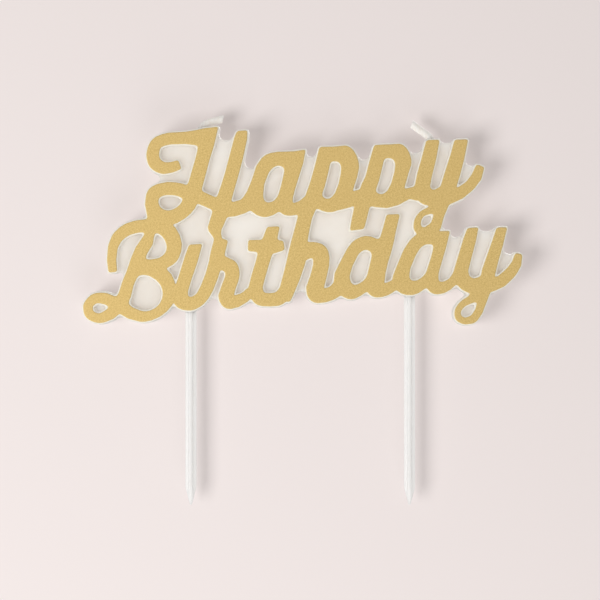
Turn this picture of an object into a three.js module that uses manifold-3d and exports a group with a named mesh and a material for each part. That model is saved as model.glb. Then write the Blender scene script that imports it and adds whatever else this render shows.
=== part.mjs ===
// Script birthday candle: a white wax casting with raised gold lettering, two wicks and two picks.
// Millimetres, +Z up. The words are read from the -Y side, looking along +Y.
// z = 0 is the top of the cake, x = 0 is midway between the picks, y = 0 is the plane of picks and wicks.
import * as THREE from 'three';
import { mergeVertices } from 'three/addons/utils/BufferGeometryUtils.js';
import Module from 'manifold-3d';

const wasm = await Module();
wasm.setup();

// Lettering: the real distance between its outermost stroke points. The strokes, the web outline and the
// wicks are drawn further down, and all that is drawn is scaled to this width.
const letteringWidth = 127.8;

// Wax casting
const webThickness = 6.0;
const letterRise = 1.5;
const webBack = webThickness / 2;
const webFront = webBack - webThickness;
const letterFront = webFront - letterRise;

// Gold layer on the raised letters
const goldThickness = 0.2;
const goldMargin = 0.35;

// Clearance round every piece that is set into the wax
const seatGap = 0.3;

// Picks: a plus-shaped stem with a four-sided point
const pickSpacing = 65.2;
const pickWidth = 3.3;
const pickRib = 1.0;
const pickTop = 30;
const pickTip = -48;
const pickPointLength = 9;
const pickPointWidth = 0.6;
const pickPointSpread = 1.6;
const coneSides = 16;

// How far a cutting shape runs on past the material it cuts
const cutOverrun = 3;

// Wicks
const wickDiameter = 1.7;
const wickSides = 12;
const wickDepth = 22;
const wickSteps = 18;

// Smoothness: an outline point at every point of a stroke, and after every turn of this many degrees
const turnStep = 14;

// Stroke ends have their corners rounded off
const endRadius = 0.5;
const cornerSteps = 2;

// Strokes of the lettering. Each point is [x, z, stroke width].
// startCut and endCut give the slope of that end in degrees. Without one the end is square to its stroke.
const strokes = [
  {
    name: 'H hook and top bar',
    path: [[-35.7, 53.25, 2.9], [-38.2, 52.4, 3.15], [-40.8, 52.25, 3.6], [-43.05, 53.65, 3.85],
      [-43.75, 56.4, 3.75], [-42.55, 59.55, 3.5], [-38.7, 60.95, 3.5], [-34.0, 61.15, 3.65],
      [-31.2, 61.2, 4.4], [-28.5, 61.2, 5.6]],
  },
  {
    name: 'H left stem and loop',
    startCut: 6,
    path: [[-26.7, 64.2, 4.6], [-27.75, 59.5, 4.5], [-28.95, 55.0, 4.15], [-30.6, 49.0, 4.3],
      [-31.75, 45.2, 4.4], [-32.9, 41.5, 4.2], [-35.4, 38.9, 4.1], [-38.4, 37.45, 4.1],
      [-42.6, 38.8, 3.6], [-44.2, 41.6, 3.8]],
  },
  {
    name: 'H loop and crossbar',
    path: [[-43.3, 36.6, 3.6], [-44.15, 41.4, 3.8], [-43.45, 44.8, 3.65], [-39.3, 46.15, 3.85],
      [-35.3, 45.65, 3.9], [-30.5, 43.85, 3.85], [-25.3, 41.5, 3.8], [-22.5, 40.4, 3.8]],
  },
  {
    name: 'H right stem',
    startCut: 4,
    path: [[-17.2, 63.3, 3.0], [-17.65, 61.0, 3.8], [-19.1, 55.0, 4.05], [-20.45, 50.0, 4.05],
      [-21.65, 46.0, 4.15],
      [-22.9, 42.0, 4.4], [-24.2, 37.5, 4.5], [-25.3, 34.5, 4.3], [-24.7, 32.2, 2.5], [-24.2, 31.0, 2.4]],
  },
  {
    name: 'first a bowl',
    path: [[-23.5, 39.8, 4.6], [-19.6, 40.0, 4.3], [-16.2, 41.3, 4.2], [-14.0, 44.3, 4.1],
      [-12.55, 48.0, 3.9], [-11.2, 51.8, 4.2], [-9.2, 54.25, 4.3], [-6.2, 55.15, 3.8],
      [-4.3, 54.7, 4.8], [-2.0, 54.6, 5.2]],
  },
  {
    name: 'first a bowl foot',
    path: [[-12.6, 48.0, 3.9], [-13.15, 44.2, 4.3], [-12.9, 41.2, 4.6], [-10.6, 39.75, 4.25],
      [-8.0, 40.3, 3.6], [-6.3, 41.6, 3.2], [-5.3, 43.2, 2.8]],
  },
  {
    name: 'first a stem',
    startCut: 9,
    path: [[-0.65, 57.35, 4.2], [-1.35, 54.5, 4.75], [-2.65, 50.0, 4.55], [-3.6, 46.5, 4.3],
      [-4.4, 43.6, 4.4], [-4.2, 40.5, 4.4], [-2.0, 40.0, 3.7], [0.6, 40.9, 3.5], [3.2, 43.1, 3.3]],
  },
  {
    name: 'first p stem and h ascender',
    startCut: 2,
    path: [[7.55, 58.5, 3.6], [7.1, 56.0, 3.9], [6.6, 53.0, 4.3], [5.15, 47.5, 4.5], [3.35, 42.5, 4.4],
      [1.5, 38.0, 4.2], [0.55, 34.0, 4.35], [-0.45, 29.5, 4.85], [-1.22, 24.5, 5.55], [-2.55, 20.0, 5.1],
      [-4.1, 15.5, 4.5], [-5.0, 13.0, 4.0]],
  },
  {
    name: 'first p bowl',
    path: [[8.0, 56.4, 4.1], [10.6, 56.45, 4.3], [13.2, 56.25, 5.3], [14.75, 53.3, 5.35], [14.45, 50.0, 4.95],
      [13.45, 46.4, 4.6], [12.0, 43.5, 4.2], [9.8, 41.2, 3.9], [7.4, 41.1, 3.6], [4.4, 42.7, 3.6]],
  },
  {
    name: 'first p to second p',
    path: [[10.5, 41.45, 3.9], [14.2, 42.5, 4.1], [18.4, 44.2, 3.8]],
  },
  {
    name: 'second p stem',
    startCut: 4,
    endCut: 7,
    path: [[23.6, 59.1, 3.2], [22.6, 54.0, 4.1], [21.35, 49.0, 4.2], [20.3, 46.6, 4.5], [19.5, 44.0, 4.5],
      [18.3, 40.7, 4.45], [17.35, 36.5, 4.3], [16.8, 33.85, 4.0]],
  },
  {
    name: 'second p bowl',
    path: [[24.0, 57.2, 3.9], [26.5, 57.25, 3.95], [29.2, 56.95, 4.9], [30.6, 54.2, 4.8], [29.9, 50.4, 4.1],
      [28.9, 46.8, 4.2], [27.1, 43.9, 3.9], [24.5, 42.5, 3.3], [21.4, 43.4, 3.4]],
  },
  {
    name: 'second p to y',
    path: [[20.0, 43.0, 3.6], [22.6, 42.3, 3.4], [25.5, 42.2, 3.8], [28.5, 42.85, 3.5],
      [32.0, 44.6, 3.3], [35.0, 44.6, 4.4]],
  },
  {
    name: 'first y left stem',
    startCut: 2,
    path: [[39.4, 60.55, 3.8], [38.3, 55.5, 4.25], [36.85, 50.0, 4.4], [36.2, 46.6, 4.6], [37.2, 43.9, 5.0],
      [40.2, 43.5, 4.6], [43.2, 45.2, 4.3]],
  },
  {
    name: 'first y right stem and loop',
    startCut: 2,
    path: [[47.8, 60.65, 3.9], [46.6, 55.5, 4.25], [45.0, 50.0, 4.6], [43.6, 45.5, 4.5], [42.2, 41.5, 3.7],
      [41.0, 38.0, 3.2], [40.0, 35.0, 3.6], [37.2, 33.4, 2.7]],
  },
  {
    name: 'first y loop',
    path: [[39.8, 35.0, 2.9], [37.2, 33.3, 2.8], [35.0, 34.2, 2.5], [34.95, 36.6, 2.2], [36.25, 38.55, 2.0],
      [38.4, 39.5, 2.3], [40.6, 40.6, 3.6]],
  },
  {
    name: 'first y tail',
    path: [[53.45, 52.9, 2.5], [52.3, 49.6, 3.15], [50.15, 46.85, 3.15], [47.35, 44.7, 3.5],
      [44.0, 43.3, 3.7], [41.0, 43.0, 3.6]],
  },
  {
    name: 'B hook',
    path: [[-55.6, 21.3, 2.6], [-55.95, 25.0, 2.75], [-55.5, 29.0, 2.95], [-53.9, 32.0, 3.35],
      [-51.1, 34.05, 3.6], [-48.0, 34.9, 3.7], [-44.0, 35.2, 4.0], [-41.4, 34.9, 4.0], [-38.8, 33.0, 4.7],
      [-37.3, 29.2, 4.35], [-38.3, 25.75, 4.1], [-41.6, 23.7, 3.6], [-47.0, 23.0, 3.9]],
  },
  {
    name: 'B stem and small loop',
    path: [[-44.5, 34.2, 2.6], [-44.8, 32.1, 2.9], [-45.4, 30.4, 3.75], [-47.1, 27.8, 3.9],
      [-48.4, 24.9, 3.8], [-49.8, 21.0, 3.6], [-51.1, 18.0, 3.5], [-52.05, 14.5, 3.8],
      [-53.7, 11.6, 3.8], [-56.6, 8.9, 3.6], [-59.7, 7.75, 3.1], [-62.45, 8.95, 3.0],
      [-62.95, 11.2, 2.9]],
  },
  {
    name: 'B small loop and lower bowl',
    path: [[-62.45, 8.95, 3.0], [-62.95, 11.2, 2.9], [-60.9, 13.35, 3.2], [-57.5, 13.25, 3.6],
      [-53.8, 11.3, 3.6], [-50.4, 9.2, 3.6], [-46.2, 8.1, 3.05], [-42.1, 9.5, 2.85], [-39.5, 12.4, 3.5],
      [-38.8, 15.8, 4.0], [-40.2, 19.6, 4.45], [-44.2, 22.3, 4.3], [-48.6, 22.7, 4.1]],
  },
  {
    name: 'i and r stem',
    startCut: 3,
    path: [[-31.0, 29.6, 3.7], [-32.4, 25.0, 4.1], [-34.05, 20.0, 3.9], [-35.35, 15.8, 4.1],
      [-35.25, 12.9, 4.6], [-32.5, 11.95, 4.0], [-29.65, 13.45, 3.7], [-27.6, 16.8, 3.9],
      [-26.15, 20.5, 3.9], [-25.2, 24.0, 3.9], [-24.5, 27.0, 4.2], [-23.35, 31.3, 4.1]],
  },
  {
    name: 'r shoulder',
    path: [[-25.4, 24.8, 3.8], [-22.7, 23.95, 4.1], [-20.6, 22.75, 4.3], [-20.1, 20.4, 4.2],
      [-21.2, 17.0, 4.2], [-22.0, 14.3, 4.6], [-21.3, 12.5, 4.1], [-18.6, 12.8, 3.6],
      [-16.0, 14.25, 3.0], [-14.6, 15.9, 2.6]],
  },
  {
    name: 't stem',
    startCut: 3,
    path: [[-7.95, 34.85, 3.6], [-9.0, 31.0, 4.2], [-10.4, 27.0, 4.2], [-11.25, 24.0, 4.0],
      [-12.45, 20.0, 4.1], [-13.25, 16.5, 4.15], [-12.1, 13.7, 4.2], [-9.2, 13.1, 3.9],
      [-6.2, 13.6, 4.1], [-4.6, 15.6, 3.6]],
  },
  {
    name: 't crossbar',
    path: [[-15.5, 29.2, 3.3], [-12.5, 29.1, 3.6], [-7.6, 28.9, 3.95], [-4.8, 29.3, 2.8]],
  },
  {
    name: 'h shoulder',
    path: [[-0.6, 26.4, 4.6], [3.3, 27.95, 4.7], [5.75, 27.0, 5.1], [6.2, 23.4, 4.75], [5.4, 20.0, 4.8],
      [4.35, 16.6, 5.2], [4.75, 14.6, 4.7], [7.6, 14.5, 4.1], [10.2, 15.6, 4.0], [11.9, 17.6, 4.0]],
  },
  {
    name: 'd bowl',
    path: [[24.0, 27.6, 4.2], [22.2, 29.2, 4.2], [19.4, 30.15, 3.8], [16.6, 28.75, 3.75], [13.8, 24.0, 3.8],
      [12.4, 20.5, 4.5], [12.6, 17.5, 4.8], [14.9, 15.35, 4.2], [17.6, 16.0, 3.3], [20.8, 18.3, 3.0]],
  },
  {
    name: 'd stem',
    startCut: 2,
    path: [[27.6, 38.5, 3.8], [26.48, 34.0, 3.95], [25.75, 31.0, 4.25], [24.5, 28.0, 5.2], [23.6, 25.0, 5.1],
      [22.9, 22.0, 5.1], [22.3, 19.0, 5.5], [22.4, 16.4, 5.0], [25.3, 16.2, 3.8], [27.7, 17.4, 3.1],
      [29.2, 18.0, 2.6]],
  },
  {
    name: 'second a bowl',
    path: [[41.4, 31.2, 3.8], [38.2, 31.7, 3.8], [35.0, 30.55, 3.75], [32.4, 27.0, 3.95], [30.75, 23.0, 4.0],
      [29.85, 19.5, 4.9], [30.75, 17.15, 4.5], [33.4, 16.6, 4.1], [35.8, 17.5, 3.2], [38.2, 19.6, 2.9]],
  },
  {
    name: 'second a stem',
    startCut: 2,
    path: [[42.6, 33.5, 3.6], [41.5, 29.0, 3.6], [40.4, 25.0, 3.45], [39.3, 21.5, 3.6], [38.95, 18.8, 4.2],
      [40.0, 16.8, 3.9], [42.4, 16.8, 3.4], [45.0, 18.3, 2.7], [47.0, 21.2, 2.9]],
  },
  {
    name: 'second y left stem',
    startCut: 4,
    path: [[51.25, 34.5, 3.1], [50.3, 31.0, 3.75], [48.6, 25.0, 3.95], [47.7, 21.6, 4.3], [48.6, 18.6, 4.5],
      [51.3, 17.2, 4.5], [54.6, 18.3, 3.9]],
  },
  {
    name: 'second y right stem and loop',
    startCut: 2,
    path: [[59.85, 34.6, 3.0], [58.55, 30.0, 3.4], [56.95, 25.0, 3.75], [55.9, 21.5, 4.1], [55.0, 17.0, 3.8],
      [54.0, 13.0, 2.8], [52.85, 9.7, 2.6], [51.1, 7.45, 2.6], [49.0, 6.9, 2.2]],
  },
  {
    name: 'second y loop',
    path: [[51.1, 7.45, 2.6], [49.0, 6.9, 2.2], [47.1, 7.8, 2.15], [46.85, 9.8, 2.05], [48.3, 11.8, 2.2],
      [50.6, 13.1, 2.6], [53.3, 15.0, 4.4]],
  },
  {
    name: 'second y tail',
    path: [[64.85, 26.8, 2.1], [64.2, 23.85, 2.95], [62.1, 20.85, 3.4], [59.4, 18.5, 3.6], [55.8, 17.2, 3.8],
      [52.5, 17.0, 3.8]],
  },
];

// Outline of the recessed web, clockwise from the H. Two numbers are a corner under a letter.
// Four numbers are a free edge: the point it bends towards, then where it ends.
const webOutline = [
  [-41.3, 45.6], [-41.2, 49.6, -42.0, 53.2], [-43.0, 53.9], [-43.7, 56.4], [-42.5, 59.6], [-38.7, 61.1],
  [-26.0, 62.8],
  [-21.9, 57.6, -18.3, 62.8], [-18.6, 57.0], [-15.4, 48.2, -11.2, 53.4], [-9.4, 54.8], [-0.6, 56.3],
  [3.4, 54.3, 7.0, 56.5], [13.3, 56.0], [15.4, 54.8], [19.0, 54.2, 22.4, 54.8], [23.0, 57.1],
  [30.0, 56.8], [34.3, 54.9, 38.6, 59.2], [39.2, 60.0], [43.6, 59.1, 47.5, 60.0], [46.6, 55.6],
  [49.9, 51.6, 53.2, 52.6], [50.1, 46.9], [47.3, 44.8], [43.5, 43.2], [41.2, 38.0], [40.3, 35.0],
  [42.6, 32.6], [46.5, 30.0, 50.4, 33.2], [51.0, 33.8], [55.2, 32.9, 59.5, 33.8], [58.1, 28.8],
  [61.5, 25.7, 64.7, 26.2], [64.2, 23.8], [62.3, 20.7], [59.5, 18.3], [55.4, 17.0], [54.3, 13.0],
  [53.0, 9.7], [51.0, 7.6], [49.0, 6.9], [47.2, 7.9], [46.9, 9.8], [48.3, 11.8], [51.8, 14.0],
  [51.0, 17.0], [48.5, 18.3], [46.0, 19.0], [42.6, 16.6], [39.6, 17.0], [36.2, 18.2], [33.3, 16.4],
  [30.8, 17.0], [28.0, 17.8], [25.8, 16.2], [23.2, 16.0], [20.0, 17.8], [14.8, 15.2], [12.4, 16.4],
  [7.6, 14.0], [4.2, 15.2], [0.3, 17.4, -3.6, 13.6], [-9.2, 12.8], [-12.4, 13.6], [-15.4, 14.4],
  [-18.6, 12.7], [-22.0, 12.8], [-25.2, 14.4, -29.0, 13.4], [-32.5, 12.0], [-35.4, 13.0], [-38.6, 13.6],
  [-42.0, 9.5], [-46.0, 8.2], [-50.3, 9.3], [-54.0, 11.2], [-56.6, 8.9], [-59.6, 7.8], [-62.2, 9.0],
  [-62.6, 11.2], [-60.8, 13.2], [-57.5, 13.2], [-53.2, 12.6], [-50.2, 20.6], [-53.0, 21.5, -55.8, 22.3],
  [-56.0, 25.0], [-55.6, 29.0], [-54.1, 32.2], [-51.2, 34.3], [-45.2, 35.4], [-43.6, 38.2],
  [-44.2, 41.6], [-43.3, 44.7],
];
const webEdgeSteps = 8;

// Free ends of the wicks, from the wax up to the cut
const wickLeftDrawn = [[-29.3, 63.9], [-28.9, 65.1], [-27.6, 65.9], [-25.6, 66.4], [-23.1, 67.1]];
const wickRightDrawn = [[38.5, 60.6], [38.1, 61.8], [36.9, 62.8], [35.1, 64.1], [33.2, 65.6]];

// Drawn points and widths at their real size
const drawnX = strokes.flatMap((stroke) => stroke.path.map(([x]) => x));
const drawnWidth = Math.max(...drawnX) - Math.min(...drawnX);
const toRealSize = (values) => values.map((value) => (value * letteringWidth) / drawnWidth);
const wickLeftFree = wickLeftDrawn.map(toRealSize);
const wickRightFree = wickRightDrawn.map(toRealSize);

function toManifold(geometry) {
  const bare = geometry.clone();
  bare.deleteAttribute('normal');
  bare.deleteAttribute('uv');
  const merged = mergeVertices(bare, 1e-4);
  return new wasm.Manifold(new wasm.Mesh({
    numProp: 3,
    vertProperties: new Float32Array(merged.attributes.position.array),
    triVerts: new Uint32Array(merged.index.array),
  }));
}

function toGeometry(solid) {
  const mesh = solid.getMesh();
  const geometry = new THREE.BufferGeometry();
  geometry.setAttribute('position', new THREE.BufferAttribute(mesh.vertProperties.slice(), 3));
  geometry.setIndex(new THREE.BufferAttribute(mesh.triVerts.slice(), 1));
  return geometry;
}

// Stand a drawing up in the X-Z plane as a plate between two values of y.
function plate(shape, front, back) {
  const geometry = new THREE.ExtrudeGeometry(shape, { depth: back - front, bevelEnabled: false });
  geometry.rotateX(Math.PI / 2);
  geometry.translate(0, back, 0);
  return geometry;
}

// Points along a stroke: position, direction and half width, one for every turnStep of bend.
function strokeStations(path) {
  const knots = path.map((point) => new THREE.Vector3(...toRealSize(point)));
  const perKnot = 24;
  const curve = new THREE.CatmullRomCurve3(knots, false, 'centripetal');
  const fine = curve.getPoints(perKnot * (knots.length - 1));
  const last = fine.length - 1;
  const heading = (i) => {
    const a = fine[Math.max(i - 1, 0)];
    const b = fine[Math.min(i + 1, last)];
    return new THREE.Vector2(b.x - a.x, b.y - a.y).normalize();
  };
  const stations = [];
  let kept = null;
  for (let i = 0; i <= last; i += 1) {
    const along = heading(i);
    const turned = kept ? Math.acos(THREE.MathUtils.clamp(kept.dot(along), -1, 1)) : Infinity;
    if (i % perKnot === 0 || turned >= THREE.MathUtils.degToRad(turnStep)) {
      kept = along;
      stations.push({ at: new THREE.Vector2(fine[i].x, fine[i].y), along, half: fine[i].z / 2 });
    }
  }
  return stations;
}

// Take a corner off: a short curve between two points that lie a reach away along its two sides.
function roundedCorner(before, corner, after, radius) {
  const trim = (far) => {
    const reach = Math.min(radius, corner.distanceTo(far) * 0.45);
    return far.clone().sub(corner).setLength(reach).add(corner);
  };
  return new THREE.QuadraticBezierCurve(trim(before), corner, trim(after)).getPoints(cornerSteps);
}

// Outline of one stroke, grown on every side by a margin.
function strokeShape(stroke, margin) {
  const stations = strokeStations(stroke.path);
  const last = stations.length - 1;
  const sides = [[], []];
  stations.forEach(({ at, along, half }, i) => {
    const across = new THREE.Vector2(-along.y, along.x);
    const reach = half + margin;
    const isEnd = i === 0 || i === last;
    const slope = i === 0 ? stroke.startCut : stroke.endCut;
    const cutTurn = THREE.MathUtils.degToRad(slope ?? 0);
    const cutNormal = isEnd && slope !== undefined
      ? new THREE.Vector2(-Math.sin(cutTurn), Math.cos(cutTurn))
      : along;
    const centre = at.clone();
    if (isEnd) {
      const outward = i === 0 ? -1 : 1;
      centre.addScaledVector(along, (outward * margin) / Math.abs(along.dot(cutNormal)));
    }
    [1, -1].forEach((sign, side) => {
      const slide = (-sign * reach * across.dot(cutNormal)) / along.dot(cutNormal);
      const edge = centre.clone().addScaledVector(across, sign * reach);
      if (isEnd) {
        edge.addScaledVector(along, slide);
      }
      const before = sides[side][sides[side].length - 1];
      const forward = !before || edge.clone().sub(before).dot(along) > 0.02;
      if (forward || i === last) {
        sides[side].push(edge);
      }
    });
  });
  const outline = [...sides[0], ...sides[1].reverse()];
  const count = outline.length;
  const corners = [0, sides[0].length - 1, sides[0].length, count - 1];
  return new THREE.Shape(outline.flatMap((point, i) => (corners.includes(i)
    ? roundedCorner(outline[(i + count - 1) % count], point, outline[(i + 1) % count], endRadius + margin)
    : [point])));
}

function joinAll(solids) {
  return solids.reduce((whole, solid) => whole.add(solid));
}

function letterPlates(margin, front, back) {
  return joinAll(strokes.map((stroke) => toManifold(plate(strokeShape(stroke, margin), front, back))));
}

function webShape() {
  const shape = new THREE.Shape();
  const [start, ...steps] = webOutline.map(toRealSize);
  shape.moveTo(...start);
  steps.forEach((step) => {
    if (step.length === 2) {
      shape.lineTo(...step);
    } else {
      shape.quadraticCurveTo(...step);
    }
  });
  return new THREE.Shape(shape.getPoints(webEdgeSteps));
}

// A plus-shaped section with a rib thickness and an overall width.
function plusShape(width, rib) {
  const w = width / 2;
  const r = rib / 2;
  const corners = [[w, -r], [w, r], [r, r], [r, w], [-r, w], [-r, r], [-w, r], [-w, -r], [-r, -r], [-r, -w],
    [r, -w], [r, -r]];
  return new THREE.Shape(corners.map(([x, y]) => new THREE.Vector2(x, y)));
}

function uprightPrism(shape, bottom, top) {
  const geometry = new THREE.ExtrudeGeometry(shape, { depth: top - bottom, bevelEnabled: false });
  geometry.translate(0, 0, bottom);
  return geometry;
}

// The pick is its plus-shaped stem trimmed to a long point by a tapering envelope.
function pickSolid() {
  const stem = toManifold(uprightPrism(plusShape(pickWidth, pickRib), pickTip, pickTop));
  const pointTop = pickTip + pickPointLength;
  const reach = (pickWidth / 2) * pickPointSpread;
  const envelope = new THREE.LatheGeometry([
    new THREE.Vector2(0, pickTip - cutOverrun),
    new THREE.Vector2(pickPointWidth / 2, pickTip - cutOverrun),
    new THREE.Vector2(pickPointWidth / 2, pickTip),
    new THREE.Vector2(reach, pointTop),
    new THREE.Vector2(reach, pickTop + cutOverrun),
    new THREE.Vector2(0, pickTop + cutOverrun),
  ], coneSides);
  envelope.rotateX(Math.PI / 2);
  return stem.intersect(toManifold(envelope));
}

function wickPath(free) {
  const [baseX, baseZ] = free[0];
  const buried = [0, 0.35, 0.7].map((part) => new THREE.Vector3(baseX, 0, baseZ - wickDepth * (1 - part)));
  const outside = free.map(([x, z]) => new THREE.Vector3(x, 0, z));
  return new THREE.CatmullRomCurve3([...buried, ...outside], false, 'centripetal');
}

function discShape(diameter, sides) {
  const rim = [];
  for (let i = 0; i < sides; i += 1) {
    const turn = (2 * Math.PI * (i + 0.5)) / sides;
    rim.push(new THREE.Vector2(Math.cos(turn), Math.sin(turn)).multiplyScalar(diameter / 2));
  }
  return new THREE.Shape(rim);
}

function wickGeometry(free) {
  const path = wickPath(free);
  const options = { extrudePath: path, steps: wickSteps, bevelEnabled: false };
  return new THREE.ExtrudeGeometry(discShape(wickDiameter, wickSides), options);
}

function wickChannel(free) {
  const [x, z] = free[0];
  const bore = discShape(wickDiameter + 2 * seatGap, wickSides);
  const geometry = uprightPrism(bore, z - wickDepth - seatGap, z + cutOverrun);
  geometry.translate(x, 0, 0);
  return toManifold(geometry);
}

function pickSocket(x) {
  const slot = plusShape(pickWidth + 2 * seatGap, pickRib + 2 * seatGap);
  const geometry = uprightPrism(slot, -cutOverrun, pickTop + seatGap);
  geometry.translate(x, 0, 0);
  return toManifold(geometry);
}

function meshOf(name, geometry, color, roughness, metalness) {
  const bare = geometry.clone();
  bare.deleteAttribute('normal');
  bare.deleteAttribute('uv');
  const merged = mergeVertices(bare, 1e-4);
  merged.computeVertexNormals();
  const material = new THREE.MeshStandardMaterial({ color, roughness, metalness });
  material.name = name;
  const mesh = new THREE.Mesh(merged, material);
  mesh.name = name;
  return mesh;
}

const pickX = pickSpacing / 2;
const raised = letterPlates(goldMargin, letterFront, webBack);
const web = toManifold(plate(webShape(), webFront, webBack));
const wax = raised.add(web)
  .subtract(pickSocket(-pickX))
  .subtract(pickSocket(pickX))
  .subtract(wickChannel(wickLeftFree))
  .subtract(wickChannel(wickRightFree));
const gold = letterPlates(0, letterFront - goldThickness, letterFront);
const pick = toGeometry(pickSolid());

const group = new THREE.Group();
group.name = 'birthday_candle';
group.add(meshOf('wax_body', toGeometry(wax), 0xf3efe6, 0.5, 0));
group.add(meshOf('gold_lettering', toGeometry(gold), 0xd5b262, 0.45, 0.6));
group.add(meshOf('wick_left', wickGeometry(wickLeftFree), 0xf1ece1, 0.8, 0));
group.add(meshOf('wick_right', wickGeometry(wickRightFree), 0xefeadf, 0.8, 0));
group.add(meshOf('pick_left', pick.clone().translate(-pickX, 0, 0), 0xf6f5f2, 0.35, 0));
group.add(meshOf('pick_right', pick.clone().translate(pickX, 0, 0), 0xf5f4f1, 0.35, 0));

export default group;
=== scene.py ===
# %% [markdown]
# # A script birthday candle
# The real object is a flat wax casting in the shape of two script words, with a gold layer printed on
# the raised letters, two waxed cotton wicks at the top and two white plastic picks that go into a cake.
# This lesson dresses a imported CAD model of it. The CAD part fixes every size and place, and Blender adds
# what a mould, a printing pad and a pair of scissors leave behind: soft rims, a grainy layer, a cut wick.

# %% Load the frame
import math

import bmesh
import bpy
import numpy as np
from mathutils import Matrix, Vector
from mathutils.geometry import delaunay_2d_cdt


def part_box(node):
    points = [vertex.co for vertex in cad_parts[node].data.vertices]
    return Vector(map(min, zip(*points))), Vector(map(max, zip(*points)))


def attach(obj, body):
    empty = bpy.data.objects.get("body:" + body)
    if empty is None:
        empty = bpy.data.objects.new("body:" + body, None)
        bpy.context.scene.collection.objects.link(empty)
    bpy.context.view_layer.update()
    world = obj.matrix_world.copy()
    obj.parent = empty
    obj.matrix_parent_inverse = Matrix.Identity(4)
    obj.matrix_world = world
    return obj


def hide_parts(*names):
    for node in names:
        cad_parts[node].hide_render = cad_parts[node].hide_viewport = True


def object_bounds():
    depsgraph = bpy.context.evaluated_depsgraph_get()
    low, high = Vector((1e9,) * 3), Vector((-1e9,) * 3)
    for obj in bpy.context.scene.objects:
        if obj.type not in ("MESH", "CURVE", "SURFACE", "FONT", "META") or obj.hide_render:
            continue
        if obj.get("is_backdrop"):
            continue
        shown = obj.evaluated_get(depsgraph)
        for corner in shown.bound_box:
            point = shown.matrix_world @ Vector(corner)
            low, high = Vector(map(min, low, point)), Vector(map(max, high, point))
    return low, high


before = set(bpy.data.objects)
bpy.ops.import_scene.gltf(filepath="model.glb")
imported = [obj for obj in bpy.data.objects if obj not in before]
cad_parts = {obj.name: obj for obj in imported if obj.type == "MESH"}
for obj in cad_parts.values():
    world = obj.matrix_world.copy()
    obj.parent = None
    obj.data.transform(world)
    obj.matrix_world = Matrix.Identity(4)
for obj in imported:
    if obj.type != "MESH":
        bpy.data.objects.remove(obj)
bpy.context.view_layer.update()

# %% [markdown]
# ## The camera
# The photograph looks straight at the words from a little way off. A long lens at a fixed distance gives
# the same weak perspective. The lens is worked out from the width that the picture shows in the plane of
# the gold, so the two numbers that matter stay readable: how far away, and how much is seen.

# %% Camera
MM = 0.001
GOLD_FACE_Y = -4.7 * MM
VIEW_CENTRE = (-0.07 * MM, 13.05 * MM)
VIEW_WIDTH = 177.96 * MM
CAMERA_DISTANCE = 0.80
SENSOR = 36.0

camera_data = bpy.data.cameras.new("camera")
camera = bpy.data.objects.new("camera", camera_data)
bpy.context.scene.collection.objects.link(camera)
camera.location = (VIEW_CENTRE[0], GOLD_FACE_Y - CAMERA_DISTANCE, VIEW_CENTRE[1])
camera.rotation_euler = (math.radians(90), 0, 0)
camera_data.sensor_width = SENSOR
camera_data.lens = SENSOR * CAMERA_DISTANCE / VIEW_WIDTH
camera_data.clip_start = 0.01
bpy.context.scene.camera = camera
print("lens, mm:", round(camera_data.lens, 1))

# %% [markdown]
# ## Helpers for surfaces
# Every new piece is a grid of points worked out with numpy: rings of points stacked along a path, joined
# by quads. One helper turns such arrays into a Blender mesh, and keeps the object at the origin, because
# its place is in its mesh.


# %% Helper: arrays to a mesh object
def mesh_piece(name, points, faces):
    """Makes an object from an (n, 3) array of points in metres and a list of faces."""
    mesh = bpy.data.meshes.new(name)
    mesh.from_pydata(points.tolist(), [], faces)
    mesh.validate()
    mesh.shade_smooth()
    piece = bpy.data.objects.new(name, mesh)
    bpy.context.scene.collection.objects.link(piece)
    return piece


# %% Helper: quads between rings
def ring_quads(rings, count, start=0):
    """Quads that join each of the rings, count points long, to the next one, as an index array."""
    ring, step = np.meshgrid(np.arange(rings - 1), np.arange(count), indexing="ij")
    a = start + ring * count + step
    b = start + ring * count + (step + 1) % count
    return np.stack([a, b, b + count, a + count], axis=-1).reshape(-1, 4)


# %% [markdown]
# ## The outline of the letters
# The shape of the letters is already in the CAD solids, so it is read from them and not drawn again. The
# flat face of a solid is a set of triangles. An edge that only one of them uses lies on the outline, and
# chaining these edges gives closed loops. CAD outlines have small corners where their curves were split,
# so each loop is smoothed like a signal: its points, spaced evenly, are a periodic series, and a Gaussian
# filter along the loop rounds what is shorter than its width and leaves the rest in place.


# %% Helpers: outline loops of a flat face
FLAT_SLACK = 0.01 * MM
PLACE_DIGITS = 6


def face_loops(node, depth):
    """Outline loops of a CAD node's flat face at y = depth, each a complex array x + iz in metres.
    Solid lies to the left of each loop, seen along +Y. Corners that agree to a micrometre are one."""
    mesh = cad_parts[node].data
    co = np.zeros(len(mesh.vertices) * 3)
    mesh.vertices.foreach_get("co", co)
    corners, number = np.unique(co.reshape(-1, 3).round(PLACE_DIGITS), axis=0, return_inverse=True)
    mesh.calc_loop_triangles()
    tri = np.zeros(len(mesh.loop_triangles) * 3, int)
    mesh.loop_triangles.foreach_get("vertices", tri)
    tri = number.reshape(-1)[tri].reshape(-1, 3)
    tri = tri[(abs(corners[tri][:, :, 1] - depth) < FLAT_SLACK).all(axis=1)]
    edges = np.concatenate([tri[:, [0, 1]], tri[:, [1, 2]], tri[:, [2, 0]]])
    known = {tuple(e) for e in edges.tolist()}
    follow = {}
    for a, b in known:
        if (b, a) not in known:
            follow.setdefault(a, []).append(b)
    loops = []
    while follow:
        here = next(iter(follow))
        walk = []
        while here in follow:
            walk.append(here)
            onward = follow[here].pop()
            if not follow[here]:
                del follow[here]
            here = onward
        loops.append(corners[walk, 0] + 1j * corners[walk, 2])
    facing_back = sum(signed_area(loop) for loop in loops) < 0
    return [loop[::-1] if facing_back else loop for loop in loops]


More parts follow.
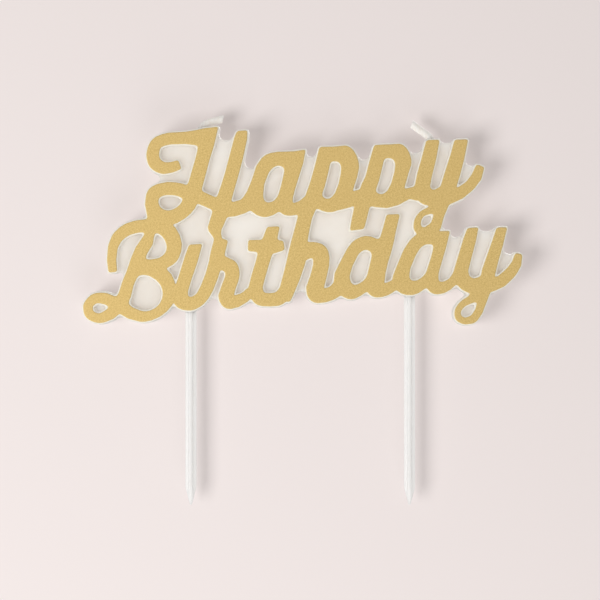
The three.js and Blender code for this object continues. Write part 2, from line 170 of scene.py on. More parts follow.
def signed_area(loop):
    """Half the sum of cross products of neighbouring points: positive if the loop runs anticlockwise."""
    return 0.5 * np.sum((np.conj(loop) * np.roll(loop, -1)).imag)


# %% Helpers: smooth a loop
OUTLINE_SPACING = 0.28 * MM
LEAST_POINTS = 12


def blurred(loop, blur):
    """A closed loop of even points, blurred along its length with a Gaussian of width blur.
    The filter is a product with exp(-2 pi^2 f^2 blur^2) in the loop's Fourier series."""
    frequency = np.fft.fftfreq(len(loop), abs(np.roll(loop, -1) - loop).mean())
    return np.fft.ifft(np.fft.fft(loop) * np.exp(-2 * (math.pi * frequency * blur) ** 2))


def smooth_loop(loop, blur):
    """Even points along a closed loop, blurred."""
    closed = np.append(loop, loop[0])
    travelled = np.concatenate([[0], np.cumsum(abs(np.diff(closed)))])
    count = max(LEAST_POINTS, int(round(travelled[-1] / OUTLINE_SPACING)))
    at = np.arange(count) * travelled[-1] / count
    even = np.interp(at, travelled, closed.real) + 1j * np.interp(at, travelled, closed.imag)
    return blurred(even, blur)


# %% Helper: fill the inner corners of a loop
COUNTER_BLUR = 1.0 * MM
LEAST_COUNTER = 12 * MM**2
LARGEST_COUNTER = 100 * MM**2
CORNER_SLACK = 0.1 * MM


def nearby(values, reach):
    """The values of each point's neighbours up to reach points away, one row for each shift."""
    return [np.roll(values, shift) for shift in range(-reach, reach + 1)]


def fill_corners(loop, corner_blur, limit):
    """Rounds the inner corners of the solid and leaves the outer ones, as wax does in a mould.
    A wide blur cuts every corner. The loop goes over to its blur with a share that rises from 0 to 1
    where the blur lies further out of the solid than the slack, and by no more than the limit.
    A letter's counter gets a wider blur, because the round letters have smooth counters."""
    step = (np.roll(loop, -1) - np.roll(loop, 1)) / 2
    is_counter = LEAST_COUNTER < abs(signed_area(loop)) < LARGEST_COUNTER
    wide = blurred(loop, COUNTER_BLUR if is_counter else corner_blur)
    further = (np.conj(-1j * step / abs(step)) * (wide - loop)).real
    share = np.clip((further - CORNER_SLACK) / CORNER_SLACK, 0, 1)
    share = np.max(nearby(share, reach=3), axis=0)
    share *= limit / np.maximum(abs(wide - loop), limit)
    share = np.mean(nearby(share, reach=2), axis=0)
    return loop + share * (wide - loop)


# %% Helper: close the slits of a loop
SLIT_WIDTH = 0.36 * MM
SLIT_POINTS = 14


def close_slits(loop):
    """Cuts off each part of a loop that lies beyond a neck narrower than SLIT_WIDTH and has at most
    SLIT_POINTS points. Neither wax nor a print keeps a slit that narrow."""
    points = SLIT_POINTS
    while points > 2:
        near = abs(np.roll(loop, -points) - loop) < SLIT_WIDTH
        if near.any():
            loop = np.roll(loop, -near.argmax())
            loop = np.concatenate([loop[:1], loop[points:]])
        else:
            points -= 1
    return loop


# %% Helpers: move a loop into the solid
FOLD_MARGIN = 0.7
EYE_GROWTH = 0.22 * MM


def inward(loop, furthest):
    """Normals that point into the solid: the direction of travel turned a quarter to the left.
    They have length 1, and less round a convex corner whose radius is short for the furthest inset, so
    that no ring folds over itself: the length is at most margin x radius of curvature / furthest inset,
    with the smallest value of the nearest points, averaged along the loop."""
    step = (np.roll(loop, -1) - np.roll(loop, 1)) / 2
    bend = np.roll(loop, -1) - 2 * loop + np.roll(loop, 1)
    curvature = (np.conj(step) * bend).imag / abs(step) ** 3
    length = FOLD_MARGIN / np.maximum(curvature * furthest, FOLD_MARGIN)
    length = np.min(nearby(length, reach=4), axis=0)
    length = np.mean(nearby(length, reach=3), axis=0)
    return 1j * step / abs(step) * length


def open_eye(loop):
    """Widens a loop whose area is under that of the least counter, because a blur closes small holes."""
    is_eye = abs(signed_area(loop)) < LEAST_COUNTER
    return loop + EYE_GROWTH * inward(loop, EYE_GROWTH) if is_eye else loop


# %% Read the three outlines
LETTER_FACE_Y = -4.5 * MM
BACK_Y = 3.0 * MM
SPECK = 1.2 * MM**2
FIRST_BLUR = 0.1 * MM


def outlines(node, depth, blur, corner_blur=0.5 * MM, corner_limit=0.35 * MM):
    """The smoothed outline loops of a CAD face, without specks too small to mould or print."""
    loops = [loop for loop in face_loops(node, depth) if abs(signed_area(loop)) > SPECK]
    loops = [fill_corners(smooth_loop(loop, FIRST_BLUR), corner_blur, corner_limit) for loop in loops]
    loops = [open_eye(close_slits(loop)) for loop in loops]
    return [smooth_loop(loop, blur) for loop in loops]


gold_loops = outlines("gold_lettering", GOLD_FACE_Y, blur=0.20 * MM)
letter_loops = outlines("wax_body", LETTER_FACE_Y, blur=0.24 * MM)
web_loops = outlines("wax_body", BACK_Y, blur=0.50 * MM, corner_blur=1.3 * MM, corner_limit=0.8 * MM)
for label, found in (("gold", gold_loops), ("letter", letter_loops), ("whole", web_loops)):
    print(label, "outline:", len(found), "loops,", sum(map(len, found)), "points")

# %% [markdown]
# ## Plates with rounded rims
# A flat casting is its outline carried through a rim profile: each step of the profile says how far the
# outline has moved in and at what depth it is. Ring by ring this gives the draft of a moulded wall and a
# soft rim. A bevel modifier could round the CAD solid too, but it stumbles where small curved facets
# meet, and it can't give the wall its draft. The two flat ends are filled by constrained triangulation.


# %% Helper: fill a set of loops with triangles
TRIANGLES_INSIDE = 1
MERGE_BELOW = 1e-7
BATCHES = 40


def fill(loops):
    """Triangles that fill the loops, as an index array into the joined points.
    A Delaunay triangulation keeps every loop edge. A triangle is kept where a ray from its middle
    crosses the loops an odd number of times."""
    joined = np.concatenate(loops)
    edges, first = [], 0
    for loop in loops:
        index = np.arange(len(loop))
        edges.append(np.stack([index, (index + 1) % len(loop)], axis=1) + first)
        first += len(loop)
    edges = np.concatenate(edges)
    flat = [Vector((p.real / MM, p.imag / MM)) for p in joined.tolist()]
    result = delaunay_2d_cdt(flat, edges.tolist(), [], TRIANGLES_INSIDE, MERGE_BELOW)
    points = np.array([tuple(p) for p in result[0]]) * MM
    triangles = np.array(result[2])
    middle = points[triangles].mean(axis=1)
    a, b = joined[edges[:, 0]], joined[edges[:, 1]]
    inside = np.zeros(len(middle), bool)
    for part in np.array_split(np.arange(len(middle)), BATCHES):
        x, z = middle[part, 0][:, None], middle[part, 1][:, None]
        spans = (a.imag > z) != (b.imag > z)
        with np.errstate(divide="ignore", invalid="ignore"):
            cross_x = a.real + (z - a.imag) * (b.real - a.real) / (b.imag - a.imag)
        inside[part] = (spans & (x < cross_x)).sum(axis=1) % 2 == 1
    if len(points) != len(joined):
        print("note: the fill has", len(points) - len(joined), "points more than its loops")
    return points, triangles[inside]


# %% Helper: a plate from loops and a rim profile
def rimmed_plate(name, loops, profile):
    """A closed plate. profile is a list of (inset, y) from the back face round the rim to the front face.
    Ring k of a loop is the loop moved along its inward normals by inset k, at depth y k."""
    points, faces, first = [], [], 0
    furthest = max(inset for inset, depth in profile)
    normals = [inward(loop, furthest) for loop in loops]
    for loop, normal in zip(loops, normals):
        for inset, depth in profile:
            ring = loop + inset * normal
            points.append(np.stack([ring.real, np.full(len(ring), depth), ring.imag], axis=1))
        quads = ring_quads(len(profile), len(loop), first)
        faces += quads.tolist()
        first += len(profile) * len(loop)
    for (inset, depth), facing_front in ((profile[0], False), (profile[-1], True)):
        rings = [loop + inset * normal for loop, normal in zip(loops, normals)]
        flat, triangles = fill(rings)
        points.append(np.stack([flat[:, 0], np.full(len(flat), depth), flat[:, 1]], axis=1))
        turned = triangles if facing_front else triangles[:, ::-1]
        faces += (turned + first).tolist()
        first += len(flat)
    piece = mesh_piece(name, np.concatenate(points), faces)
    weld(piece)
    return piece


# %% Helpers: weld a mesh and measure it
WELD_DISTANCE = 0.002 * MM


def weld(piece):
    """Merges the points of a mesh that lie closer together than the weld distance."""
    work = bmesh.new()
    work.from_mesh(piece.data)
    bmesh.ops.remove_doubles(work, verts=work.verts, dist=WELD_DISTANCE)
    work.to_mesh(piece.data)
    work.free()


def report(piece):
    """Prints a piece's faces, open edges and volume. An open edge is one without exactly two faces, and
    a closed mesh has none. The volume would be negative if the faces pointed inwards."""
    work = bmesh.new()
    work.from_mesh(piece.data)
    open_edges = sum(1 for edge in work.edges if len(edge.link_faces) != 2)
    volume = work.calc_volume(signed=True) / MM**3
    work.free()
    print(piece.name, len(piece.data.polygons), "faces,", open_edges, "open edges,", round(volume), "mm3")


# %% Wax plates
LETTER_WALL = [(0.10, 2.96), (-0.06, 2.96), (-0.16, 2.8), (-0.16, 0.0), (-0.10, -2.6), (-0.07, -3.2),
               (-0.03, -4.0), (0.0, -4.28), (0.06, -4.43), (0.14, -4.49), (0.22, -4.5), (0.30, -4.5)]
WEB_WALL = [(0.34, 3.0), (0.20, 3.0), (0.04, 2.95), (-0.06, 2.8), (-0.12, 2.55), (-0.12, 0.0), (-0.04, -2.1),
            (0.03, -2.45), (0.15, -2.76), (0.32, -2.93), (0.50, -3.0), (0.58, -3.0)]


def scaled(profile):
    """A rim profile written in millimetres, in metres."""
    return [(inset * MM, depth * MM) for inset, depth in profile]


letters = rimmed_plate("wax_letters", letter_loops, scaled(LETTER_WALL))
web = rimmed_plate("wax_web", web_loops, scaled(WEB_WALL))
for plate in (letters, web):
    report(plate)

# %% [markdown]
# ## Join the two plates
# The letters stand through the web, so the two closed plates share a lot of space. A union keeps the
# outer skin only, which matters here because wax lets light in, and walls left inside would cast shade.
# Blender's Manifold solver is quick and exact on closed meshes.


# %% Union
def union(name, first, second):
    """One closed mesh with the outer skin of two closed meshes. The two originals are removed."""
    join = first.modifiers.new("join", "BOOLEAN")
    join.operation = "UNION"
    join.solver = "MANIFOLD"
    join.object = second
    bpy.context.view_layer.update()
    whole = bpy.data.meshes.new_from_object(first.evaluated_get(bpy.context.evaluated_depsgraph_get()))
    for used in (first, second):
        bpy.data.objects.remove(used)
    whole.name = name
    whole.materials.clear()
    piece = bpy.data.objects.new(name, whole)
    bpy.context.scene.collection.objects.link(piece)
    return piece


wax = union("wax_casting", letters, web)
wax.data.shade_smooth()
wax.data.set_sharp_from_angle(angle=math.radians(38))
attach(wax, "root")
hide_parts("wax_body")
report(wax)

# %% [markdown]
# ## The gold layer
# The layer is pressed on the flat tops of the letters, a hair inside their rim. It is thin, but it has an
# edge that catches the light, so it is a plate of its own with a rim of a few hundredths of a millimetre.

# %% Gold layer
GOLD_RIM = [(0.10, -4.5), (0.03, -4.5), (0.0, -4.53), (0.0, -4.57), (0.03, -4.63), (0.09, -4.675),
            (0.17, -4.695), (0.24, -4.7), (0.30, -4.7)]

gold = rimmed_plate("gold_layer", gold_loops, scaled(GOLD_RIM))
gold.data.set_sharp_from_angle(angle=math.radians(60))
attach(gold, "root")
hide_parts("gold_lettering")
report(gold)

# %% [markdown]
# ## The wicks
# A candle wick is three strands of cotton twisted together and dipped in wax, here bent over at the top
# and cut off with scissors. It could be a curve with a round bevel, but the strands would be missing. So
# the section is a function of two parameters: the turn round the wick and the distance along it.


# %% Helpers: a smooth path and its directions
FINE_STEPS = 8


def between(start, end, start_time, end_time, time):
    """The point that moves straight from start to end between their times."""
    share = (time - start_time) / (end_time - start_time)
    return (1 - share) * start + share * end


def smooth_path(knots, count):
    """Points and directions along a centripetal Catmull-Rom curve through the knots.
    Between two knots it is the cubic that leaves each one in the mean direction of its neighbours."""
    knots = np.asarray(knots, float)
    ends = np.concatenate([[2 * knots[0] - knots[1]], knots, [2 * knots[-1] - knots[-2]]])
    time = np.concatenate([[0], np.cumsum(np.linalg.norm(np.diff(ends, axis=0), axis=1) ** 0.5)])
    at = np.linspace(time[1], time[-2], count * FINE_STEPS)
    span = np.clip(np.searchsorted(time, at, side="right") - 1, 1, len(ends) - 3)
    t0, t1, t2, t3 = (time[span + k][:, None] for k in (-1, 0, 1, 2))
    p0, p1, p2, p3 = (ends[span + k] for k in (-1, 0, 1, 2))
    t = at[:, None]
    a1 = between(p0, p1, t0, t1, t)
    a2 = between(p1, p2, t1, t2, t)
    a3 = between(p2, p3, t2, t3, t)
    fine = between(between(a1, a2, t0, t2, t), between(a2, a3, t1, t3, t), t1, t2, t)
    travelled = np.concatenate([[0], np.cumsum(np.linalg.norm(np.diff(fine, axis=0), axis=1))])
    even = np.linspace(0, travelled[-1], count)
    path = np.stack([np.interp(even, travelled, fine[:, k]) for k in range(3)], axis=1)
    along = np.gradient(path, axis=0)
    return path, along / np.linalg.norm(along, axis=1)[:, None], even


# %% Helper: close the ends of a tube
def close_tube(points, rings, count):
    """Adds a middle point at both ends of a stack of rings, and returns the points and all the faces."""
    quads = ring_quads(rings, count)
    step = np.arange(count)
    last = (rings - 1) * count
    foot, head = len(points), len(points) + 1
    points = np.concatenate([points, [points[:count].mean(axis=0), points[last:last + count].mean(axis=0)]])
    foot_fan = np.stack([np.full(count, foot), (step + 1) % count, step], axis=1)
    head_fan = np.stack([np.full(count, head), last + step, last + (step + 1) % count], axis=1)
    return points, quads.tolist() + foot_fan.tolist() + head_fan.tolist()


# %% Helpers: the surface of a wick
WICK_RADIUS = 1.12 * MM
STRANDS = 3
STRAND_DEPTH = 0.07
STRAND_PITCH = 5.5 * MM
WICK_SIDES = 36
WICK_RINGS = 220
WICK_DEPTH = 22 * MM
BURIED_SHARES = (1.0, 0.65, 0.3)
CUT_ROUND = 0.22 * MM
CUT_SHARE = 0.5
LAST_RING = 0.93
CUT_LENGTH = 1.6 * MM
COAT_WAVES = ((0.025, 900.0, 0.0), (0.02, 2100.0, 1.0))


def wick_radii(turn, even):
    """Radius = wick radius x (1 - depth x groove) x waves x rounding, on the grid of distance and turn.
    The groove is the cosine of the number of strands times the turn, and turns with the distance. The
    waves, each a share of the radius, radians per metre and a start, make the dipped coat uneven. The
    rounding takes the sharp edge off the cut end."""
    phase = STRANDS * turn[None, :] + 2 * math.pi * even[:, None] / STRAND_PITCH
    groove = (0.5 + 0.5 * np.cos(phase)) ** 3
    waves = sum((share * np.sin(even * rate + start) for share, rate, start in COAT_WAVES), 1)
    rounding = np.sqrt(1 - CUT_SHARE * np.clip(1 - (even[-1] - even) / CUT_ROUND, 0, 1) ** 2)
    rounding[-1] *= LAST_RING
    return WICK_RADIUS * (1 - STRAND_DEPTH * groove) * (waves * rounding)[:, None]


def wick_piece(name, free_points, cut_lean):
    """A twisted cord. Point = path + radius x (cosine of turn x across + sine of turn x side), and near
    the cut it leans along the path, as scissors leave it. Its lower part stands straight in the wax. The
    turn runs backwards, which makes the faces point outwards."""
    free = [(x * MM, 0.0, z * MM) for x, z in free_points]
    base_x, base_y, base_z = free[0]
    buried = [(base_x, base_y, base_z - WICK_DEPTH * share) for share in BURIED_SHARES]
    path, along, even = smooth_path(buried + free, WICK_RINGS)
    side = np.array([0.0, 1.0, 0.0])
    across = np.cross(along, side)
    turn = -2 * math.pi * np.arange(WICK_SIDES) / WICK_SIDES
    radius = wick_radii(turn, even)
    offset_x = radius * np.cos(turn)
    offset_y = radius * np.sin(turn)
    lean = cut_lean * np.clip(1 - (even[-1] - even) / CUT_LENGTH, 0, 1)[:, None] * offset_x
    points = (path[:, None, :] + offset_x[..., None] * across[:, None, :]
              + offset_y[..., None] * side + lean[..., None] * along[:, None, :])
    points, faces = close_tube(points.reshape(-1, 3), WICK_RINGS, WICK_SIDES)
    return mesh_piece(name, points, faces)


# %% Wick pieces
WICKS = {
    "wick_left": {"free": [(-29.7, 63.5), (-29.1, 64.8), (-27.6, 65.8), (-25.4, 66.5), (-23.0, 67.0)],
                  "lean": 0.35},
    "wick_right": {"free": [(38.9, 60.5), (38.3, 61.7), (37.0, 62.8), (35.2, 64.0), (33.2, 65.6)],
                   "lean": -0.3},
}
wicks = []
for name, shape in WICKS.items():
    wick = wick_piece("waxed_" + name, shape["free"], shape["lean"])
    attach(wick, "root")
    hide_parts(name)
    wicks.append(wick)
    report(wick)

# %% [markdown]
# ## The picks
# Each pick is a moulded plastic stem with four ribs and a long point. A mould rounds every rib, so the
# plus-shaped section is drawn with arcs, and the same section is carried up the stem. Near the point a
# cone trims it: a point of the section never lies further out than the cone at its height.

# %% Helpers: the section of a pick
PICK_HALF_WIDTH = 1.65 * MM
RIB_HALF = 0.5 * MM
RIB_ROUND = 0.28 * MM
ROOT_ROUND = 0.8 * MM
ARC_STEPS = 6


def arc(centre, radius, start, end):
    """Points of a circular arc as complex numbers: centre + radius x exp(i angle)."""
    return centre + radius * np.exp(1j * np.radians(np.linspace(start, end, ARC_STEPS)))


def pick_section():
    """One arm of the plus as three arcs, turned four times by a quarter."""
    tip = PICK_HALF_WIDTH - RIB_ROUND
    side = RIB_HALF - RIB_ROUND
    root = RIB_HALF + ROOT_ROUND
    arm = np.concatenate([
        arc(tip - 1j * side, RIB_ROUND, -90, 0),
        arc(tip + 1j * side, RIB_ROUND, 0, 90),
        arc(root + 1j * root, ROOT_ROUND, 270, 180),
    ])
    return np.concatenate([arm * 1j**quarter for quarter in range(4)])


# %% Helper: a pick
POINT_LENGTH = 9 * MM
POINT_RADIUS = 0.3 * MM
TIP_ROUND = 0.25 * MM
TIP_RISES = (0, 0.02, 0.06, 0.13, 0.25)
TIP_FLAT = 0.35
POINT_RINGS = 18
STEM_RINGS = 36
CONE_END = 1.6 * PICK_HALF_WIDTH


def pick_piece(name, low, high):
    """The section carried up the middle of a box, no further out than a cone. The cone's radius is that
    of the rounded tip, and grows evenly along the point until it is past the ribs."""
    length = high.z - low.z
    rise = np.concatenate([
        np.array(TIP_RISES) * MM,
        np.linspace(0.5 * MM, POINT_LENGTH, POINT_RINGS),
        np.linspace(POINT_LENGTH + 2 * MM, length - 0.2 * MM, STEM_RINGS),
        [length],
    ])
    ease = np.sqrt(1 - np.clip(1 - rise / TIP_ROUND, 0, 1) ** 2)
    tip = POINT_RADIUS * (TIP_FLAT + (1 - TIP_FLAT) * ease)
    cone = tip + np.clip(rise / POINT_LENGTH, 0, 1) * (CONE_END - POINT_RADIUS)
    section = pick_section()
    trimmed = section * np.minimum(1, cone[:, None] / abs(section))
    height = np.broadcast_to((low.z + rise)[:, None], trimmed.shape)
    across = (low.x + high.x) / 2 + trimmed.real
    points = np.stack([across, trimmed.imag, height], axis=-1).reshape(-1, 3)
    points, faces = close_tube(points, len(rise), len(section))
    return mesh_piece(name, points, faces)


# %% Pick pieces
picks = []
for name in ("pick_left", "pick_right"):
    low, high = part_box(name)
    pick = pick_piece("ribbed_" + name, low, high)
    pick.data.set_sharp_from_angle(angle=math.radians(50))
    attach(pick, "root")
    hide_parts(name)
    picks.append(pick)
    report(pick)

# %% [markdown]
# ## Finishes
# Wax, gold layer, cotton and plastic each get a material made of nodes that read the piece's own
# coordinates. Two effects come back in more than one of them, so each is a node group built once: an even
# grain of fine specks, and slow cloudy mottling. Each material places them with its own values.


# %% Helpers for node trees
def paint(red, green, blue):
    """A colour written as 0 to 255 values, turned into the linear numbers that the renderer uses."""
    value = np.array([red, green, blue]) / 255
    linear = np.where(value <= 0.04045, value / 12.92, ((value + 0.055) / 1.055) ** 2.4)
    return (*linear.tolist(), 1.0)


def add(tree, kind, inputs=None, **settings):
    """Adds a node, sets its properties, and sets or links its inputs by name or number."""
    node = tree.nodes.new(kind)
    for key, value in settings.items():
        setattr(node, key, value)
    for key, value in (inputs or {}).items():
        if isinstance(value, bpy.types.NodeSocket):
            tree.links.new(value, node.inputs[key])
        else:
            node.inputs[key].default_value = value
    return node


def smooth_step(tree, value, start, end):
    """A mask that goes from 0 where the value is start to 1 where it is end, with smooth ends."""
    node = add(tree, "ShaderNodeMapRange", {"Value": value, "From Min": start, "From Max": end},
               interpolation_type="SMOOTHSTEP")
    return node.outputs["Result"]


def new_mask_group(name, scale):
    """An empty node group that takes a vector and a scale, with that default, and gives a mask."""
    tree = bpy.data.node_groups.new(name, "ShaderNodeTree")
    tree.interface.new_socket("Vector", in_out="INPUT", socket_type="NodeSocketVector")
    tree.interface.new_socket("Scale", in_out="INPUT", socket_type="NodeSocketFloat").default_value = scale
    tree.interface.new_socket("Mask", in_out="OUTPUT", socket_type="NodeSocketFloat")
    return tree, tree.nodes.new("NodeGroupInput"), tree.nodes.new("NodeGroupOutput")


# %% Node group: grain
COARSE_SHARE = 0.38


def grain_group():
    """Fine specks: two noises of different size, added and stretched to fill 0 to 1."""
    tree, given, out = new_mask_group("grain", 3000.0)
    coarse = add(tree, "ShaderNodeMath", {0: given.outputs["Scale"], 1: COARSE_SHARE},
                 operation="MULTIPLY")
    fine_noise = add(tree, "ShaderNodeTexNoise", {"Vector": given.outputs["Vector"], "Detail": 1.0,
                                                  "Scale": given.outputs["Scale"]})
    coarse_noise = add(tree, "ShaderNodeTexNoise", {"Vector": given.outputs["Vector"], "Detail": 2.0,
                                                    "Scale": coarse.outputs[0]})
    both = add(tree, "ShaderNodeMath", {0: fine_noise.outputs[0], 1: coarse_noise.outputs[0]},
               operation="ADD")
    mask = add(tree, "ShaderNodeMapRange", {"Value": both.outputs[0], "From Min": 0.72, "From Max": 1.28})
    tree.links.new(mask.outputs["Result"], out.inputs["Mask"])
    return tree


# %% Node group: mottling
def mottle_group():
    """Slow clouds: one soft noise, stretched to fill 0 to 1 with smooth ends."""
    tree, given, out = new_mask_group("mottle", 60.0)
    noise = add(tree, "ShaderNodeTexNoise", {"Vector": given.outputs["Vector"], "Detail": 3.0,
                                             "Scale": given.outputs["Scale"]})
    tree.links.new(smooth_step(tree, noise.outputs[0], 0.3, 0.7), out.inputs["Mask"])
    return tree


GRAIN = grain_group()
MOTTLE = mottle_group()
print("node groups:", GRAIN.name, MOTTLE.name)


# %% Helpers: start a material and give it to pieces
def start_material(name):
    """A material with its tree, its Principled shader and Object coordinates."""
    material = bpy.data.materials.new(name)
    material.use_nodes = True
    tree = material.node_tree
    shader = tree.nodes["Principled BSDF"]
    place = tree.nodes.new("ShaderNodeTexCoord").outputs["Object"]
    return material, tree, shader, place


def dress(pieces, material):
    """Gives a material to pieces."""
    for piece in pieces:
        piece.data.materials.append(material)
    print(material.name, "on", [piece.name for piece in pieces])


# %% Helpers: masks, blends and bumps
def use_group(tree, group, place, scale):
    """Places a node group that reads the given coordinates at a scale, and returns its mask."""
    node = tree.nodes.new("ShaderNodeGroup")
    node.node_tree = group
    tree.links.new(place, node.inputs["Vector"])
    node.inputs["Scale"].default_value = scale
    return node.outputs["Mask"]


def blend_colours(tree, mask, low, high):
    """A colour that goes from low to high with a mask."""
    mix = add(tree, "ShaderNodeMix", {0: mask, 6: low, 7: high}, data_type="RGBA")
    return mix.outputs[2]


def blend_values(tree, mask, low, high):
    """A number that goes from low to high with a mask."""
    return add(tree, "ShaderNodeMapRange", {"Value": mask, "To Min": low, "To Max": high}).outputs["Result"]


def bump(tree, height, distance, strength, before=None):
    """A bump from a height mask. distance is the height of the mask's full range in metres."""
    node = add(tree, "ShaderNodeBump", {"Height": height, "Distance": distance, "Strength": strength})
    if before is not None:
        tree.links.new(before, node.inputs["Normal"])
    return node.outputs["Normal"]


# %% [markdown]
# ### Wax
# Candle wax is pale and slightly cloudy, and light goes a little way into it, so thin rims glow. The
# Principled shader's subsurface part does this with the real size of the effect, some millimetres here,
# and a shorter one at the front rims. The front rims are also painted a paler, whiter colour, a painted
# glow on top of what the subsurface gives.

# %% Wax material
wax_material, tree, shader, place = start_material("candle_wax")
cloud = use_group(tree, MOTTLE, place, 90.0)
fine = use_group(tree, GRAIN, place, 2600.0)
depth = add(tree, "ShaderNodeSeparateXYZ", {0: place}).outputs["Y"]
# Mask of the front rims by depth: there the colour is painted whiter as a painted glow, and the subsurface
# is shorter.
painted_glow_rim = smooth_step(tree, depth, -3.05 * MM, -3.9 * MM)
body = blend_colours(tree, cloud, paint(236, 231, 225), paint(242, 238, 233))
tree.links.new(blend_colours(tree, painted_glow_rim, body, paint(253, 245, 233)), shader.inputs["Base Color"])
tree.links.new(blend_values(tree, cloud, 0.42, 0.56), shader.inputs["Roughness"])
waves = bump(tree, cloud, 0.05 * MM, 0.5)
tree.links.new(bump(tree, fine, 0.012 * MM, 0.35, waves), shader.inputs["Normal"])
shader.inputs["Subsurface Weight"].default_value = 1.0
shader.inputs["Subsurface Radius"].default_value = (1.0, 0.97, 0.93)
shader.inputs["IOR"].default_value = 1.44
tree.links.new(blend_values(tree, painted_glow_rim, 9.0 * MM, 0.4 * MM), shader.inputs["Subsurface Scale"])
dress([wax], wax_material)

# %% [markdown]
# ### Gold layer
# The gold is a matt print with fine metal flakes: partly metal, rough, with specks a fifth of a
# millimetre across. A full metal would turn dark wherever the studio is dark, and a plain yellow would
# look like paint, so the metal share stays in between and varies with the specks.

# %% Gold material
gold_material, tree, shader, place = start_material("matt_gold_layer")
cloud = use_group(tree, MOTTLE, place, 45.0)
specks = use_group(tree, GRAIN, place, 5600.0)
base = blend_colours(tree, specks, paint(211, 179, 104), paint(240, 212, 144))
warmed = blend_colours(tree, blend_values(tree, cloud, 0.0, 0.35), base, paint(227, 196, 127))
tree.links.new(warmed, shader.inputs["Base Color"])
tree.links.new(blend_values(tree, specks, 0.58, 0.44), shader.inputs["Roughness"])
tree.links.new(blend_values(tree, specks, 0.35, 0.6), shader.inputs["Metallic"])
tree.links.new(bump(tree, specks, 0.02 * MM, 0.5), shader.inputs["Normal"])
dress([gold], gold_material)

# %% [markdown]
# ### Waxed cotton
# Under its wax coat the cotton still shows as fine fibres that follow the twist. Fibres are long in one
# direction, so the noise is stretched, and the coat gives a soft shine.

# %% Wick material
wick_material, tree, shader, place = start_material("waxed_cotton")
fibre_place = add(tree, "ShaderNodeMapping", {"Vector": place, "Rotation": (0.0, 0.6, 0.0),
                                              "Scale": (1.0, 1.0, 0.25)}).outputs[0]
fibres = use_group(tree, GRAIN, fibre_place, 4200.0)
cloud = use_group(tree, MOTTLE, place, 420.0)
cotton = blend_colours(tree, fibres, paint(245, 235, 226), paint(253, 247, 241))
tree.links.new(cotton, shader.inputs["Base Color"])
tree.links.new(blend_values(tree, cloud, 0.5, 0.72), shader.inputs["Roughness"])
tree.links.new(bump(tree, fibres, 0.05 * MM, 0.6), shader.inputs["Normal"])
shader.inputs["Subsurface Weight"].default_value = 0.8
shader.inputs["Subsurface Radius"].default_value = (1.0, 0.98, 0.96)
shader.inputs["Subsurface Scale"].default_value = 3.0 * MM
dress(wicks, wick_material)

# %% [markdown]
# ### Pick plastic
# White moulded plastic: almost even, glossy, with the faint flow marks of the mould along the stem.

# %% Pick material
pick_material, tree, shader, place = start_material("white_pick_plastic")
flow_place = add(tree, "ShaderNodeMapping", {"Vector": place, "Scale": (1.0, 1.0, 0.08)}).outputs[0]
flow = use_group(tree, MOTTLE, flow_place, 700.0)
plastic = blend_colours(tree, flow, paint(248, 246, 243), paint(253, 252, 250))
tree.links.new(plastic, shader.inputs["Base Color"])
tree.links.new(blend_values(tree, flow, 0.22, 0.34), shader.inputs["Roughness"])
tree.links.new(bump(tree, flow, 0.01 * MM, 0.06), shader.inputs["Normal"])
shader.inputs["Subsurface Weight"].default_value = 0.9
shader.inputs["Subsurface Radius"].default_value = (1.0, 0.97, 0.94)
shader.inputs["Subsurface Scale"].default_value = 6.0 * MM
dress(picks, pick_material)

# %% [markdown]
# ## Light and sheet
# In the photograph the candle lies on its back, seen from straight above, and the light comes from the
# lower left. A pale sheet takes its shadow: it stands just behind the candle in this frame. It is seen
# only from the front, so that the back of the candle can be looked at too, and it fades out into the
# background colour away from the candle.

# %% World
BACKGROUND = paint(238, 229, 228)

world = bpy.data.worlds.new("studio")
bpy.context.scene.world = world
world.use_nodes = True
tree = world.node_tree
tree.nodes.clear()
rays = tree.nodes.new("ShaderNodeLightPath")
room = add(tree, "ShaderNodeBackground", {"Color": (1.0, 0.975, 0.95, 1.0), "Strength": 0.53})
seen = add(tree, "ShaderNodeBackground", {"Color": BACKGROUND, "Strength": 1.0})
either = add(tree, "ShaderNodeMixShader", {0: rays.outputs["Is Camera Ray"], 1: room.outputs[0],
                                           2: seen.outputs[0]})
add(tree, "ShaderNodeOutputWorld", {"Surface": either.outputs[0]})
print("world:", world.name)


# %% Lamps
CANDLE_MIDDLE = Vector((0.0, 0.0, 0.035))


def soft_lamp(name, position, size, watts, tint=(1.0, 1.0, 1.0)):
    """A square area lamp in metres, turned to the middle of the candle."""
    data = bpy.data.lights.new(name, "AREA")
    data.size = size
    data.energy = watts
    data.color = tint
    lamp = bpy.data.objects.new(name, data)
    bpy.context.scene.collection.objects.link(lamp)
    lamp.location = position
    lamp.rotation_euler = (CANDLE_MIDDLE - Vector(position)).to_track_quat("-Z", "Y").to_euler()
    lamp.visible_camera = False
    print("lamp:", name, watts, "W")


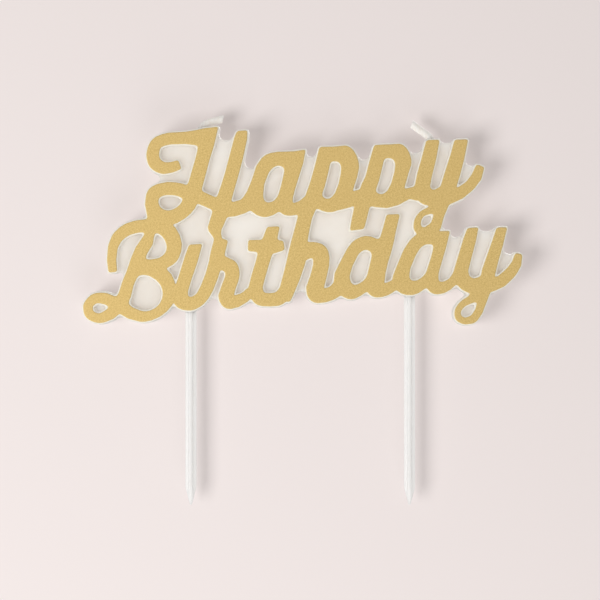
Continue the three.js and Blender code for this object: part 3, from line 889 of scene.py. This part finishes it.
soft_lamp("key", (-0.54, -0.74, -0.22), 0.46, 3.9, (1.0, 0.985, 0.96))
soft_lamp("low_fill", (0.05, -0.42, -0.55), 0.5, 0.8, (1.0, 0.99, 0.97))
soft_lamp("back_fill", (0.35, 0.75, 0.45), 0.6, 4.5)

# %% Sheet
SHEET_Y = 5.8 * MM
SHEET_HALF = 0.32

corner_signs = np.array([(-1, -1), (1, -1), (1, 1), (-1, 1)])
sheet_corners = np.insert(corner_signs * SHEET_HALF, 1, SHEET_Y, axis=1)
sheet = mesh_piece("sheet", sheet_corners, [(0, 1, 2, 3)])
sheet.visible_shadow = False
sheet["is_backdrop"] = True
print("sheet, mm across:", round(2 * SHEET_HALF / MM))

# %% Sheet material
FADE_START = 0.13
FADE_END = 0.30


def product(tree, first, second):
    """One value times another."""
    return add(tree, "ShaderNodeMath", {0: first, 1: second}, operation="MULTIPLY").outputs[0]


sheet_material, tree, shader, place = start_material("pale_sheet")
shader.inputs["Base Color"].default_value = paint(243, 235, 235)
shader.inputs["Roughness"].default_value = 0.9
shader.inputs["Specular IOR Level"].default_value = 0.1
rays = tree.nodes.new("ShaderNodeLightPath")
facing = tree.nodes.new("ShaderNodeNewGeometry")
front = add(tree, "ShaderNodeMath", {0: 1.0, 1: facing.outputs["Backfacing"]}, operation="SUBTRACT")
distance = add(tree, "ShaderNodeVectorMath", {0: place}, operation="LENGTH").outputs["Value"]
near = smooth_step(tree, distance, FADE_END, FADE_START)
shown = product(tree, product(tree, front.outputs[0], rays.outputs["Is Camera Ray"]), near)
clear = tree.nodes.new("ShaderNodeBsdfTransparent")
either = add(tree, "ShaderNodeMixShader", {0: shown, 1: clear.outputs[0], 2: shader.outputs[0]})
tree.links.new(either.outputs[0], tree.nodes["Material Output"].inputs["Surface"])
dress([sheet], sheet_material)

# %% View settings
bpy.context.scene.view_settings.view_transform = "Standard"
print("view transform:", bpy.context.scene.view_settings.view_transform)

# %% Finish
low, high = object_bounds()
print("visual box, mm:", [round(v * 1000, 1) for v in (*low, *high)])
